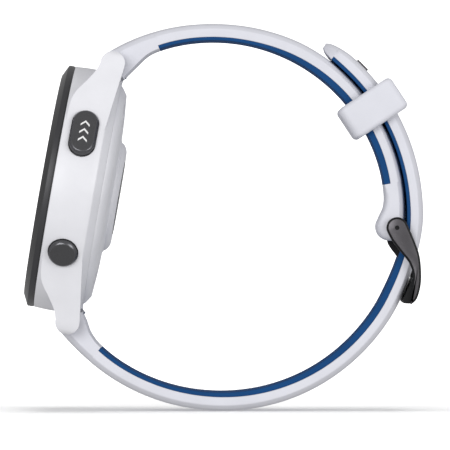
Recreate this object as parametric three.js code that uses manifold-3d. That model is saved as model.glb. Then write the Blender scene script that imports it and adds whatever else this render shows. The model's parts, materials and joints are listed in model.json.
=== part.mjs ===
// Round sports watch on its closed two-tone strap, in millimetres, +Z up.
// X runs from the watch face to the buckle, Y runs across the strap, away from the start button,
// and the origin is the centre of the strap's arc, on the watch's middle plane.
import * as THREE from 'three';
import { LoftGeometry } from 'three/addons/geometries/LoftGeometry.js';
import { RoundedBoxGeometry } from 'three/addons/geometries/RoundedBoxGeometry.js';
import { mergeVertices } from 'three/addons/utils/BufferGeometryUtils.js';
import Module from 'manifold-3d';

const wasm = await Module();
wasm.setup();

// ---------------------------------------------------------------- driving dimensions

const CASE_RADIUS = 23.05;
const CASE_TILT = 9.94;                       // degrees that the face leans back from upright
const CASE_CENTRE = { x: -29.94, z: 5.19 };   // middle of the bezel's seat
const WAIST_RADIUS = CASE_RADIUS + 0.12;      // the wall swells a little below the bezel
const WALL_BOTTOM = -7.84;                    // where the side wall turns into the rear chamfer
const BODY_BOTTOM = -9.2;
const REAR_RIM_RADIUS = 20.95;
const CAVITY_RADIUS = 19.6;
const COVER_SEAT_RADIUS = 20.4;
const COVER_SEAT_TOP = -8.0;

const BEZEL_TOP = 2.18;
const LENS_RADIUS = 20.6;
const LENS_BOTTOM = 1.0;

const BAR_REACH = 24.65;                      // spring bars, from the case's centre line
const BAR_DROP = -7.1;
const LUG_GAP_HALF = 11.15;
const LUG_TIP_RADIUS = 2.25;
const LUG_HOLE_RADIUS = 0.75;
const LUG_HOLE_END = 12.95;
const EYE_RADIUS = 2.4;                       // strap end around its spring bar
const EYE_POCKET_RADIUS = 2.75;

const BUTTON_HEIGHT = -4.1;                   // button axes, below the bezel's seat
const BUTTON_FACE = 24.15;                    // outer face of every cap, from the case's axis
const BUTTON_TRAVEL_ROOM = 0.6;

const LINER_GAP = 0.05;
const CROWN = 1.2;                            // height of the strap's rounded outer edge

const PIN = { x: 34.56, z: -2.6 };            // buckle pin
const PIN_RADIUS = 0.7;
const PIN_BORE_END = 11.45;                   // the pin's bores stop inside the arms
const ARM_INNER = 10.55;
const ARM_OUTER = 11.9;
const TONGUE_HALF_WIDTH = 1.1;

const KEEPER_ANGLE = 33.4;

// ---------------------------------------------------------------- materials

const finish = (color, roughness, metalness = 0) =>
  new THREE.MeshStandardMaterial({ color, roughness, metalness });

const whiteCase = finish(0xe3e4e8, 0.45);
const whiteSilicone = finish(0xdedfe5, 0.6);
const blueSilicone = finish(0x1d4678, 0.6);
const darkBezel = finish(0x3c3c3f, 0.4, 0.3);
const darkMetal = finish(0x4b484c, 0.4, 0.8);
const darkButton = finish(0x4c4c50, 0.4, 0.6);
const steel = finish(0xb9bcc0, 0.3, 0.9);
const gold = finish(0xc9a45a, 0.3, 0.9);
const blackGlass = finish(0x0a0b0d, 0.08);
const blackPlastic = finish(0x1c1c1f, 0.6);
const greenBoard = finish(0x1c4a34, 0.5);
const greyFoil = finish(0x8b8f94, 0.45, 0.5);
const softRubber = finish(0x2a2a2c, 0.8);

// ---------------------------------------------------------------- solids

const radians = THREE.MathUtils.degToRad;

// A closed geometry as a manifold solid, turned the right way out.
function solid(geometry) {
  const loose = geometry.index ? geometry.toNonIndexed() : geometry;
  const bare = new THREE.BufferGeometry();
  bare.setAttribute('position', loose.getAttribute('position'));
  const merged = mergeVertices(bare, 1e-4);
  const triVerts = new Uint32Array(merged.index.array);
  const vertProperties = merged.attributes.position.array;
  const made = new wasm.Manifold(new wasm.Mesh({ numProp: 3, vertProperties, triVerts }));
  if (made.volume() > 0) return made;
  triVerts.reverse();
  return new wasm.Manifold(new wasm.Mesh({ numProp: 3, vertProperties, triVerts }));
}

function geometryOf(made) {
  const mesh = made.getMesh();
  const geometry = new THREE.BufferGeometry();
  geometry.setAttribute('position', new THREE.BufferAttribute(mesh.vertProperties, 3));
  geometry.setIndex(new THREE.BufferAttribute(mesh.triVerts, 1));
  return geometry;
}

const joined = (...solids) => solids.reduce((whole, next) => whole.add(next));
const without = (whole, ...tools) => tools.reduce((left, tool) => left.subtract(tool), whole);

// A profile of [radius, height] points turned about the Z axis.
function turned(profile, segments = 48) {
  const points = profile.map(([radius, height]) => new THREE.Vector2(radius, height));
  if (profile[0][0] > 0) points.push(points[0].clone());
  return solid(new THREE.LatheGeometry(points, segments).rotateX(Math.PI / 2));
}

function ring(inner, outer, bottom, top, segments = 48) {
  return turned([[inner, bottom], [outer, bottom], [outer, top], [inner, top]], segments);
}

function disc(radius, bottom, top, x = 0, y = 0, segments = 24) {
  const geometry = new THREE.CylinderGeometry(radius, radius, top - bottom, segments);
  return solid(geometry.rotateX(Math.PI / 2).translate(x, y, (bottom + top) / 2));
}

function box([x0, x1], [y0, y1], [z0, z1]) {
  const geometry = new THREE.BoxGeometry(x1 - x0, y1 - y0, z1 - z0);
  return solid(geometry.translate((x0 + x1) / 2, (y0 + y1) / 2, (z0 + z1) / 2));
}

function roundedBox([x0, x1], [y0, y1], [z0, z1], radius) {
  const geometry = new RoundedBoxGeometry(x1 - x0, y1 - y0, z1 - z0, 2, radius);
  return solid(geometry.translate((x0 + x1) / 2, (y0 + y1) / 2, (z0 + z1) / 2));
}

// A round bar along Y, centred on (x, z).
function barAlongY(radius, y0, y1, { x, z }, segments = 20) {
  const geometry = new THREE.CylinderGeometry(radius, radius, y1 - y0, segments);
  return solid(geometry.translate(x, (y0 + y1) / 2, z));
}

// A round bar along X, centred on (y, z).
function barAlongX(radius, x0, x1, y = 0, z = 0, segments = 16) {
  const geometry = new THREE.CylinderGeometry(radius, radius, x1 - x0, segments);
  return solid(geometry.rotateZ(Math.PI / 2).translate((x0 + x1) / 2, y, z));
}

// An outline in the XZ plane, as thick as the stretch from y0 to y1.
function plateAcrossY(shape, y0, y1, curveSegments = 8) {
  const settings = { depth: y1 - y0, bevelEnabled: false, curveSegments };
  const geometry = new THREE.ExtrudeGeometry(shape, settings);
  return solid(geometry.rotateX(Math.PI / 2).translate(0, y1, 0));
}

// An outline in the XY plane, as thick as the stretch from z0 to z1.
function plateAlongZ(shape, z0, z1, curveSegments = 8) {
  const settings = { depth: z1 - z0, bevelEnabled: false, curveSegments };
  return solid(new THREE.ExtrudeGeometry(shape, settings).translate(0, 0, z0));
}

const outline = (points) => new THREE.Shape(points.map(([x, y]) => new THREE.Vector2(x, y)));

// A skin over a row of sections, which are turned over where they wind against the row.
function lofted(sections) {
  const area = new THREE.Vector3();
  const [first, second] = sections;
  first.forEach((point, i) => area.add(point.clone().cross(first[(i + 1) % first.length])));
  const along = second.reduce((sum, point, i) => sum.add(point).sub(first[i]), new THREE.Vector3());
  const wound = area.dot(along) > 0 ? sections : sections.map((points) => [...points].reverse());
  return solid(new LoftGeometry(wound, { capStart: true, capEnd: true }));
}

// A coil spring about the X axis, from x0 to x1.
class Helix extends THREE.Curve {
  constructor(radius, x0, x1, turns) {
    super();
    Object.assign(this, { radius, x0, x1, turns });
  }

  getPoint(t) {
    const angle = t * this.turns * 2 * Math.PI;
    const x = this.x0 + t * (this.x1 - this.x0);
    return new THREE.Vector3(x, this.radius * Math.cos(angle), this.radius * Math.sin(angle));
  }
}

function coilSpring(radius, wire, x0, x1, turns) {
  const section = outline([[wire, 0], [0, wire], [-wire, 0], [0, -wire]]);
  const extrudePath = new Helix(radius, x0 + wire, x1 - wire, turns);
  const settings = { steps: turns * 8, extrudePath, bevelEnabled: false };
  return solid(new THREE.ExtrudeGeometry(section, settings));
}

// ---------------------------------------------------------------- the scene graph

const watch = new THREE.Group();

// The case's own frame: +X to the upper lugs, +Y across the strap, +Z out through the lens.
const caseFrame = new THREE.Group();
caseFrame.position.set(CASE_CENTRE.x, 0, CASE_CENTRE.z);
caseFrame.rotation.y = -radians(90 - CASE_TILT);
watch.add(caseFrame);

function place(parent, name, made, material) {
  const mesh = new THREE.Mesh(geometryOf(made), material);
  mesh.name = name;
  parent.add(mesh);
}

// A point of the case's frame, in the watch's frame.
function fromCase(up, out) {
  const point = new THREE.Vector3(up, 0, out);
  caseFrame.updateMatrixWorld(true);
  point.applyMatrix4(caseFrame.matrixWorld);
  return { x: point.x, z: point.z };
}

// ---------------------------------------------------------------- button layout

// Each button's direction in the case's XY plane, in degrees, and its cap's size along the wall
// and along the case's axis.
const BUTTONS = [
  { name: 'start', turn: -62.5, length: 9.15, width: 4.75 },
  { name: 'back', turn: -120.8, length: 5.4, width: 5.4 },
  { name: 'light', turn: 60, length: 5.4, width: 5.4 },
  { name: 'up', turn: 90, length: 5.4, width: 5.4 },
  { name: 'down', turn: 120, length: 5.4, width: 5.4 },
];
const POCKET_FLOOR = 21.2;
const CAP_BOTTOM = 22.65;
const STEM_RADIUS = 0.75;
const STEM_BORE = 1.05;
const STEM_END = 18.95;
const SWITCH_FACE = STEM_END - BUTTON_TRAVEL_ROOM - 0.05;
const CAP_CLEARANCE = 0.2;
const CAP_CHAMFER = 0.6;

// A pill outline at one distance from the case's axis, in a button's own frame.
function pillSection(x, length, width, inset) {
  const radius = width / 2 - inset;
  const straight = (length - width) / 2;
  const stepsPerEnd = 8;
  const points = [];
  for (const end of [1, -1]) {
    for (let i = 0; i <= stepsPerEnd; i += 1) {
      const angle = Math.PI * (i / stepsPerEnd) + (end > 0 ? 0 : Math.PI);
      const y = end * straight + radius * Math.sin(angle);
      points.push(new THREE.Vector3(x, y, radius * Math.cos(angle)));
    }
  }
  return straight > 0 ? points : points.filter((_, i) => i !== stepsPerEnd && i !== 2 * stepsPerEnd + 1);
}

function buttonPocket({ turn, length, width }) {
  const grown = (x) => pillSection(x, length + 2 * CAP_CLEARANCE, width + 2 * CAP_CLEARANCE, 0);
  const pocket = lofted([grown(POCKET_FLOOR), grown(CASE_RADIUS + 3)]);
  const bore = barAlongX(STEM_BORE, CAVITY_RADIUS - 2, POCKET_FLOOR + 0.5);
  return joined(pocket, bore).translate([0, 0, BUTTON_HEIGHT]).rotate([0, 0, turn]);
}

// ---------------------------------------------------------------- case body

const SCREW_RADIUS = 17.7;
const SCREW_TURNS = [25, 155, 205, 335];
const BOSS_TOP = -5.2;
const BOSS_BOTTOM = -7.9;

function screwPlace(turn) {
  return [SCREW_RADIUS * Math.cos(radians(turn)), SCREW_RADIUS * Math.sin(radians(turn))];
}

// Both horns at one end: the side outline cut to the plan outline, open between the horns.
function lugPair() {
  const side = new THREE.Shape();
  side.moveTo(12, -0.45);
  side.lineTo(16.2, -0.6);
  side.quadraticCurveTo(18.2, -1.0, 20.6, -2.9);
  side.quadraticCurveTo(22.4, -4.2, BAR_REACH, BAR_DROP + LUG_TIP_RADIUS);
  side.absarc(BAR_REACH, BAR_DROP, LUG_TIP_RADIUS, Math.PI / 2, -Math.PI / 2 + 0.25, true);
  side.quadraticCurveTo(20.5, -8.9, 12, WALL_BOTTOM);
  const plan = outline([
    [8, -21.62], [12.2, -19.55], [17, -17.75], [21.5, -16.2], [25.4, -15.0], [26.6, -14.2], [27.2, -13],
    [27.2, 13], [26.6, 14.2], [25.4, 15.0], [21.5, 16.2], [17, 17.75], [12.2, 19.55], [8, 21.62],
  ]);
  const horns = plateAcrossY(side, -22, 22).intersect(plateAlongZ(plan, -12, 1));
  return without(horns, box([8, 30], [-LUG_GAP_HALF, LUG_GAP_HALF], [-12, 1]));
}

function springBarHoles(openToTheBack) {
  const axis = { x: BAR_REACH, z: BAR_DROP };
  const bore = barAlongY(LUG_HOLE_RADIUS, -LUG_HOLE_END, LUG_HOLE_END, axis, 16);
  if (!openToTheBack) return bore;
  const acrossX = [BAR_REACH - LUG_HOLE_RADIUS, BAR_REACH + LUG_HOLE_RADIUS];
  return joined(bore, box(acrossX, [-LUG_HOLE_END, LUG_HOLE_END], [-12, BAR_DROP]));
}

// The scoop in the wall that the strap's round end turns in.
function eyePocket() {
  const axis = { x: BAR_REACH, z: BAR_DROP };
  const round = barAlongY(EYE_POCKET_RADIUS, -LUG_GAP_HALF, LUG_GAP_HALF, axis, 32);
  const way = [BAR_REACH - EYE_POCKET_RADIUS, BAR_REACH + EYE_POCKET_RADIUS];
  return joined(round, box(way, [-LUG_GAP_HALF, LUG_GAP_HALF], [-12, BAR_DROP]));
}

function caseBody() {
  const wall = turned([
    [CAVITY_RADIUS, 0], [CASE_RADIUS, 0], [WAIST_RADIUS, -2.4], [WAIST_RADIUS, -6.6],
    [CASE_RADIUS - 0.1, WALL_BOTTOM], [REAR_RIM_RADIUS, BODY_BOTTOM],
    [COVER_SEAT_RADIUS, BODY_BOTTOM], [COVER_SEAT_RADIUS, COVER_SEAT_TOP], [CAVITY_RADIUS, COVER_SEAT_TOP],
  ]);
  const cavity = disc(CAVITY_RADIUS - 0.01, -12, 1, 0, 0, 48);
  const coverSeat = disc(COVER_SEAT_RADIUS, -12, COVER_SEAT_TOP, 0, 0, 48);
  const upperLugs = lugPair();
  const lowerLugs = lugPair().rotate([0, 0, 180]);
  const places = SCREW_TURNS.map(screwPlace);
  const bosses = places.map(([x, y]) => disc(2.1, BOSS_BOTTOM, BOSS_TOP, x, y, 16));
  const bossHoles = places.map(([x, y]) => disc(0.9, BOSS_BOTTOM - 1, BOSS_TOP + 1, x, y, 12));
  const shell = joined(wall, without(joined(upperLugs, lowerLugs), cavity, coverSeat), ...bosses);
  return without(
    shell,
    eyePocket(),
    eyePocket().rotate([0, 0, 180]),
    springBarHoles(false),
    springBarHoles(true).rotate([0, 0, 180]),
    ...BUTTONS.map(buttonPocket),
    ...bossHoles,
  );
}

place(caseFrame, 'case_body', caseBody(), whiteCase);

// ---------------------------------------------------------------- front: bezel, lens, display

place(caseFrame, 'bezel', turned([
  [19.9, 0.1], [CASE_RADIUS, 0.1], [CASE_RADIUS, 0.75], [CASE_RADIUS - 0.15, 1.2],
  [LENS_RADIUS + 0.3, BEZEL_TOP], [LENS_RADIUS + 0.3, 0.7], [19.9, 0.7],
]), darkBezel);
place(caseFrame, 'lens_gasket', ring(19.95, 20.45, 0.76, 0.94, 30), softRubber);
place(caseFrame, 'lens', turned([
  [0, LENS_BOTTOM], [LENS_RADIUS, LENS_BOTTOM], [LENS_RADIUS, BEZEL_TOP - 0.25],
  [LENS_RADIUS - 0.3, BEZEL_TOP], [0, BEZEL_TOP],
]), blackGlass);
place(caseFrame, 'display_module', disc(17.5, -0.9, 0.6, 0, 0, 36), blackPlastic);

// ---------------------------------------------------------------- inside

const FRAME_RADIUS = 19.3;

function innerFrame() {
  const plate = disc(FRAME_RADIUS, -2.1, -1.3, 0, 0, 36);
  const cableSlot = roundedBox([-16.5, -13.5], [-4, 4], [-3, 0], 0.6);
  return without(plate, cableSlot);
}

function mainboard() {
  const plate = disc(18, -3.1, -2.3, 0, 0, 36);
  const cableSlot = roundedBox([-19, -15.5], [-4.5, 4.5], [-4, -1], 0.6);
  return without(plate, cableSlot);
}

// An open ring on the frame's upper edge, with its gap towards the lower lugs.
function antenna() {
  const gapHalf = radians(40);
  const shape = new THREE.Shape();
  shape.absarc(0, 0, 19.2, -Math.PI + gapHalf, Math.PI - gapHalf, false);
  shape.absarc(0, 0, 18.1, Math.PI - gapHalf, -Math.PI + gapHalf, true);
  return plateAlongZ(shape, -1.1, -0.3, 14);
}

place(caseFrame, 'inner_frame', innerFrame(), blackPlastic);
place(caseFrame, 'gps_antenna', antenna(), gold);
place(caseFrame, 'mainboard', mainboard(), greenBoard);
place(caseFrame, 'shield_can', box([-6, 10], [-7, 7], [-4.4, -3.2]), steel);
place(caseFrame, 'battery', roundedBox([-9.3, 9.3], [-12.8, 12.8], [-8.3, -4.75], 0.8), greyFoil);
place(caseFrame, 'vibration_motor', disc(3.5, -8.1, -5.3, 13.4, 0, 20), steel);
place(caseFrame, 'buzzer', disc(3.9, -8.0, -7.0, -14.0, 0, 20), gold);

// ---------------------------------------------------------------- rear cover and sensor

const COVER_LIP_TOP = -8.35;
const COVER_PLATE_TOP = -9.3;
const POD_TOP_RADIUS = 9.1;
const POD_BACK = -12.3;
const WINDOW_RADIUS = 7;
const PORT = { x: -14.9, halfX: 1.9, halfY: 4.0, floor: -10.3 };
const CONTACT_PITCH = 1.7;
const VENT = { x: 13.2, y: -6.2, radius: 0.9 };

function rearCover() {
  const shell = turned([
    [WINDOW_RADIUS + 0.3, -11.3], [8.6, -11.3], [9.3, COVER_PLATE_TOP], [19.0, COVER_PLATE_TOP],
    [19.0, COVER_LIP_TOP], [20.1, COVER_LIP_TOP], [20.1, COVER_PLATE_TOP], [REAR_RIM_RADIUS, COVER_PLATE_TOP],
    [19.3, -10.45], [15, -10.8], [10.8, -10.95], [10.2, -11.5], [POD_TOP_RADIUS + 0.35, -12.1],
    [POD_TOP_RADIUS - 0.3, POD_BACK], [WINDOW_RADIUS + 0.3, POD_BACK],
  ], 40);
  const portX = [PORT.x - PORT.halfX - 0.3, PORT.x + PORT.halfX + 0.3];
  const portHole = box(portX, [-PORT.halfY - 0.3, PORT.halfY + 0.3], [-12, -9]);
  const screwHoles = SCREW_TURNS.map((turn) => joined(
    disc(0.9, -12, -8, ...screwPlace(turn), 12),
    disc(1.55, -12, -9.85, ...screwPlace(turn), 16),
  ));
  const ventHole = disc(VENT.radius + 0.3, -12, -9, VENT.x, VENT.y, 12);
  return without(shell, portHole, ventHole, ...screwHoles);
}

function contactPlace(index) {
  return [PORT.x, (index - 1.5) * CONTACT_PITCH];
}

function chargingPort() {
  const acrossX = [PORT.x - PORT.halfX, PORT.x + PORT.halfX];
  const block = box(acrossX, [-PORT.halfY, PORT.halfY], [PORT.floor, -9.4]);
  const holes = [0, 1, 2, 3].map((index) => disc(0.7, -12, -9, ...contactPlace(index), 12));
  return without(block, ...holes);
}

place(caseFrame, 'rear_cover', rearCover(), whiteCase);
place(caseFrame, 'rear_gasket', ring(19.75, 20.2, -8.27, -8.08, 30), softRubber);
place(caseFrame, 'sensor_window', disc(WINDOW_RADIUS, POD_BACK - 0.1, -11.4, 0, 0, 36), blackGlass);
place(caseFrame, 'sensor_board', disc(8.2, -10.9, -10.0, 0, 0, 28), greenBoard);
place(caseFrame, 'pressure_vent', disc(VENT.radius, -10.3, -9.6, VENT.x, VENT.y, 12), blackPlastic);
place(caseFrame, 'charging_port', chargingPort(), blackPlastic);
for (let index = 0; index < 4; index += 1) {
  const contact = disc(0.4, PORT.floor - 0.15, -9.0, ...contactPlace(index), 12);
  place(caseFrame, `charge_contact_${index + 1}`, contact, gold);
}
SCREW_TURNS.forEach((turn, index) => {
  const [x, y] = screwPlace(turn);
  const shank = disc(0.6, -10, -6.2, x, y, 12);
  const head = disc(1.25, -10.5, -9.95, x, y, 16);
  const socket = disc(0.55, -11, -10.2, x, y, 6);
  place(caseFrame, `rear_screw_${index + 1}`, without(joined(shank, head), socket), steel);
});

// ---------------------------------------------------------------- buttons

// A cap with its stem and retaining collar, pointing along +X in its own frame.
function buttonCap({ length, width }) {
  const cap = lofted([
    pillSection(CAP_BOTTOM, length, width, 0),
    pillSection(BUTTON_FACE - CAP_CHAMFER, length, width, 0),
    pillSection(BUTTON_FACE, length, width, CAP_CHAMFER),
  ]);
  const stem = barAlongX(STEM_RADIUS, STEM_END, CAP_BOTTOM + 0.5, 0, 0, 14);
  const collar = barAlongX(1.3, STEM_END, STEM_END + 0.35, 0, 0, 14);
  return joined(cap, stem, collar);
}

for (const button of BUTTONS) {
  const frame = new THREE.Group();
  frame.position.z = BUTTON_HEIGHT;
  frame.rotation.z = radians(button.turn);
  caseFrame.add(frame);
  const switchFrom = SWITCH_FACE - 1.4;
  place(frame, `${button.name}_button`, buttonCap(button), darkButton);
  const coil = coilSpring(1.45, 0.13, POCKET_FLOOR + 0.12, CAP_BOTTOM - 0.12, 2);
  place(frame, `${button.name}_spring`, coil, steel);
  place(frame, `${button.name}_switch`, box([switchFrom, SWITCH_FACE], [-1.8, 1.8], [-0.85, 0.85]), steel);
}

// ---------------------------------------------------------------- strap halves

const UPPER_BAR = fromCase(BAR_REACH, BAR_DROP);
const LOWER_BAR = fromCase(-BAR_REACH, BAR_DROP);
const polarAngle = ({ x, z }) => THREE.MathUtils.radToDeg(Math.atan2(z, x));
const UPPER_ROOT = polarAngle(UPPER_BAR);
const LOWER_ROOT = polarAngle(LOWER_BAR) + 360;
const END_EYE = { x: 33.45, z: -2.4 };        // thick end of the buckle half, around the pin
const END_EYE_RADIUS = 2.65;
const UPPER_END = polarAngle(END_EYE);

// [angle about the origin in degrees, inner radius, outer radius, half width], angles rising.
const UPPER_KNOTS = [
  [UPPER_END, 30.9, 36.15, 10.1], [-1, 31.4, 36.15, 10.1], [2, 32.2, 36.2, 10.1], [6, 32.6, 36.25, 10.1],
  [20, 32.75, 36.25, 10.1], [40, 32.65, 36.25, 10.1], [60, 32.6, 36.25, 10.2], [75, 32.6, 35.95, 10.3],
  [90, 32.6, 35.8, 10.4], [107, 32.6, 36.0, 10.65], [112, 32.4, 36.1, 10.75], [118, 31.35, 36.2, 10.85],
  [UPPER_ROOT, 30.6, 36.3, 10.85],
];
const LOWER_KNOTS = [
  [LOWER_ROOT, 30.95, 36.35, 10.85], [220, 31.35, 36.25, 10.85],
  [224, 32.25, 36.2, 10.8], [229, 32.75, 36.2, 10.7],
  [250, 33.15, 36.5, 10.5], [270, 33.55, 37.0, 10.3], [300, 34.4, 38.0, 10.1], [330, 35.2, 38.75, 10],
  [338, 35.35, 38.85, 10], [346, 35.75, 39.0, 10], [352, 36.25, 39.35, 10], [358, 36.5, 39.6, 10],
  [364, 36.5, 39.6, 10], [404, 36.45, 39.6, 9.9], [409, 36.5, 39.6, 9.4], [412.5, 36.65, 39.4, 8.4],
  [414.5, 36.95, 39.2, 6.9], [416.1, 37.4, 38.95, 5], [416.5, 37.7, 38.7, 4],
];

// A liner's ends, and its thickness as [angle, thickness], angles rising.
const UPPER_LINER = {
  from: 9.7,
  to: 108,
  thickness: [[9.7, 1.1], [45, 1.1], [60, 0.95], [78, 0.62], [108, 0.62]],
};
const LOWER_LINER = {
  from: 230,
  to: 412.5,
  thickness: [[230, 0.65], [255, 0.65], [285, 0.9], [330, 1.1], [346, 1.0], [358, 0.62], [412.5, 0.62]],
};
const STRAP_STEP = 5;                         // degrees between sections
const LINER_STEP_WIDTH = 0.3;                 // degrees that a liner's end step takes

function knotSlope(knots, index, column) {
  const before = knots[Math.max(index - 1, 0)];
  const after = knots[Math.min(index + 1, knots.length - 1)];
  return (after[column] - before[column]) / (after[0] - before[0]);
}

// A smooth value through a column of the knots.
function knotValue(knots, angle, column) {
  let index = 0;
  while (index < knots.length - 2 && angle > knots[index + 1][0]) index += 1;
  const [low, high] = [knots[index], knots[index + 1]];
  const span = high[0] - low[0];
  const t = THREE.MathUtils.clamp((angle - low[0]) / span, 0, 1);
  const rise = t * t * (3 - 2 * t);
  const leave = t * (1 - t) * (1 - t) * span * knotSlope(knots, index, column);
  const arrive = t * t * (t - 1) * span * knotSlope(knots, index + 1, column);
  return low[column] + (high[column] - low[column]) * rise + leave + arrive;
}

// A point at a radius and a width, on the half plane at an angle.
function onPlane(angle, radius, y) {
  const a = radians(angle);
  return new THREE.Vector3(radius * Math.cos(a), y, radius * Math.sin(a));
}

function anglesBetween(from, to) {
  const count = Math.ceil((to - from) / STRAP_STEP);
  return Array.from({ length: count + 1 }, (_, i) => from + ((to - from) * i) / count);
}

// Flat sides, a flat or hollow inside and a crowned outside.
function strapSection(knots, angle, lift) {
  const inner = knotValue(knots, angle, 1) + lift;
  const outer = knotValue(knots, angle, 2);
  const half = knotValue(knots, angle, 3);
  const crown = Math.min(CROWN, (outer - inner) * 0.4);
  const corners = [
    [inner, -half], [inner, half], [outer - crown, half], [outer - 0.3 * crown, half - 1.1],
    [outer, half - 3.4], [outer, 3.4 - half], [outer - 0.3 * crown, 1.1 - half], [outer - crown, -half],
  ];
  return corners.map(([radius, y]) => onPlane(angle, radius, y));
}

function strapBody(knots, liner) {
  const first = knots[0][0];
  const last = knots[knots.length - 1][0];
  const lift = (angle) => knotValue(liner.thickness, angle, 1) + LINER_GAP;
  return lofted([
    ...anglesBetween(first, liner.from - LINER_STEP_WIDTH).map((angle) => strapSection(knots, angle, 0)),
    ...anglesBetween(liner.from, liner.to).map((angle) => strapSection(knots, angle, lift(angle))),
    ...anglesBetween(liner.to + LINER_STEP_WIDTH, last).map((angle) => strapSection(knots, angle, 0)),
  ]);
}

function linerBody(knots, liner) {
  const angles = anglesBetween(liner.from, liner.to);
  angles[0] += LINER_STEP_WIDTH;
  angles[angles.length - 1] -= LINER_STEP_WIDTH;
  return lofted(angles.map((angle) => {
    const inner = knotValue(knots, angle, 1);
    const half = knotValue(knots, angle, 3);
    const outer = inner + knotValue(liner.thickness, angle, 1);
    const corners = [[inner, -half], [inner, half], [outer, half], [outer, -half]];
    return corners.map(([radius, y]) => onPlane(angle, radius, y));
  }));
}

// ---------------------------------------------------------------- buckle outlines

// Points are given from the buckle pin.
const fromPin = ([x, z]) => [PIN.x + x, PIN.z + z];

function armShape() {
  const shape = new THREE.Shape();
  shape.absarc(PIN.x, PIN.z, 2.0, radians(205), radians(20), true);
  const outer = [[3.1, -2.1], [4.15, -5.05], [4.5, -8.1], [4.4, -10.85], [3.7, -13.3], [2.6, -14.4]];
  shape.splineThru(outer.map((point) => new THREE.Vector2(...fromPin(point))));
  shape.lineTo(...fromPin([2.35, -13.9]));
  const inner = [[2.6, -12.3], [2.85, -10.4], [2.95, -8.6], [2.2, -6.5], [0.8, -4.7], [-0.9, -2.5]];
  shape.splineThru(inner.map((point) => new THREE.Vector2(...fromPin(point))));
  return shape;
}

const CROSSBAR = [
  [2.95, -9.4], [4.4, -9.4], [4.3, -10.85], [3.6, -13.2], [2.6, -14.25], [1.4, -14.2], [1.0, -13.75],
];

// Middle line of the tongue, from the pin to its tip on the crossbar.
const TONGUE_LINE = [[0, 0], [-1.1, -2.3], [0.7, -5.1], [2.95, -8.4], [3.85, -9.7], [4.0, -11.3]];

// The outline of a bar of even thickness along a bent line.
function barOutline(line, half) {
  const points = line.map((point) => new THREE.Vector2(...point));
  const normals = points.map((_, i) => {
    const before = points[Math.max(i - 1, 0)];
    const after = points[Math.min(i + 1, points.length - 1)];
    const along = after.clone().sub(before).normalize();
    return new THREE.Vector2(-along.y, along.x);
  });
  const left = points.map((point, i) => point.clone().addScaledVector(normals[i], half));
  const right = points.map((point, i) => point.clone().addScaledVector(normals[i], -half));
  return new THREE.Shape([...left, ...right.reverse()]);
}

const tongueBlank = (half, halfWidth) =>
  plateAcrossY(barOutline(TONGUE_LINE.map(fromPin), half), -halfWidth, halfWidth);

// ---------------------------------------------------------------- strap pieces

const HOLE_PITCH = 7.6;                       // degrees between adjustment holes
const TONGUE_HOLE_ANGLE = 345.2;
const HOLE_HALF_LENGTH = 1.7;
const HOLE_HALF_WIDTH = 1.15;

// A row of oval adjustment holes; the one at the tongue is cut along the tongue.
function adjustmentHoles() {
  const holes = [tongueBlank(1.35, 1.6)];
  for (let step = -6; step <= 6; step += 1) {
    if (step === 0) continue;
    const angle = TONGUE_HOLE_ANGLE + step * HOLE_PITCH;
    const centreRadius = (knotValue(LOWER_KNOTS, angle, 1) + knotValue(LOWER_KNOTS, angle, 2)) / 2;
    const geometry = new THREE.CylinderGeometry(1, 1, 8, 10);
    geometry.scale(HOLE_HALF_LENGTH, 1, HOLE_HALF_WIDTH);
    geometry.rotateX(Math.PI / 2).rotateY(-Math.PI / 2).rotateX(Math.PI / 2);
    geometry.translate(centreRadius, 0, 0).rotateY(-radians(angle));
    holes.push(solid(geometry));
  }
  return joined(...holes);
}

const RELEASE = { y: 8.0, travel: 1.5, knobRadius: 0.6 };

// The slot that a quick-release knob slides in, through the strap's inner face.
function releaseSlot(bar, root) {
  const acrossY = [RELEASE.y - RELEASE.travel - 0.95, RELEASE.y + 0.95];
  const reach = Math.hypot(bar.x, bar.z);
  const slot = box([reach - 5, reach], acrossY, [-0.95, 0.95]);
  return slot.rotate([0, -root, 0]);
}

function upperStrap() {
  const eye = barAlongY(EYE_RADIUS, -10.85, 10.85, UPPER_BAR, 28);
  const end = barAlongY(END_EYE_RADIUS, -10.1, 10.1, END_EYE, 32);
  const pinBore = barAlongY(PIN_RADIUS + 0.3, -12, 12, PIN);
  const tongueSlot = box([PIN.x - 5, PIN.x + 4], [-1.45, 1.45], [PIN.z - 4, PIN.z + 1.95]);
  const barBore = barAlongY(1.2, -12, 12, UPPER_BAR);
  const whole = joined(strapBody(UPPER_KNOTS, UPPER_LINER), eye, end);
  return without(whole, pinBore, tongueSlot, barBore, releaseSlot(UPPER_BAR, UPPER_ROOT));
}

function lowerStrap(holes) {
  const eye = barAlongY(EYE_RADIUS, -10.85, 10.85, LOWER_BAR, 28);
  const barBore = barAlongY(1.2, -12, 12, LOWER_BAR);
  const whole = joined(strapBody(LOWER_KNOTS, LOWER_LINER), eye);
  return without(whole, barBore, releaseSlot(LOWER_BAR, LOWER_ROOT), holes);
}

const strapHoles = adjustmentHoles();
place(watch, 'upper_strap', upperStrap(), whiteSilicone);
place(watch, 'upper_liner', linerBody(UPPER_KNOTS, UPPER_LINER), blueSilicone);
place(watch, 'lower_strap', lowerStrap(strapHoles), whiteSilicone);
place(watch, 'lower_liner', without(linerBody(LOWER_KNOTS, LOWER_LINER), strapHoles), blueSilicone);

// A small blank plate let onto the outside of the strap's tail.
const badgeSection = (angle) =>
  [[39.66, -3], [39.66, 3], [40, 2.8], [40, -2.8]].map(([radius, y]) => onPlane(angle, radius, y));
place(watch, 'strap_badge', lofted([402.9, 404.8, 406.8].map(badgeSection)), darkMetal);

// ---------------------------------------------------------------- keeper

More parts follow.
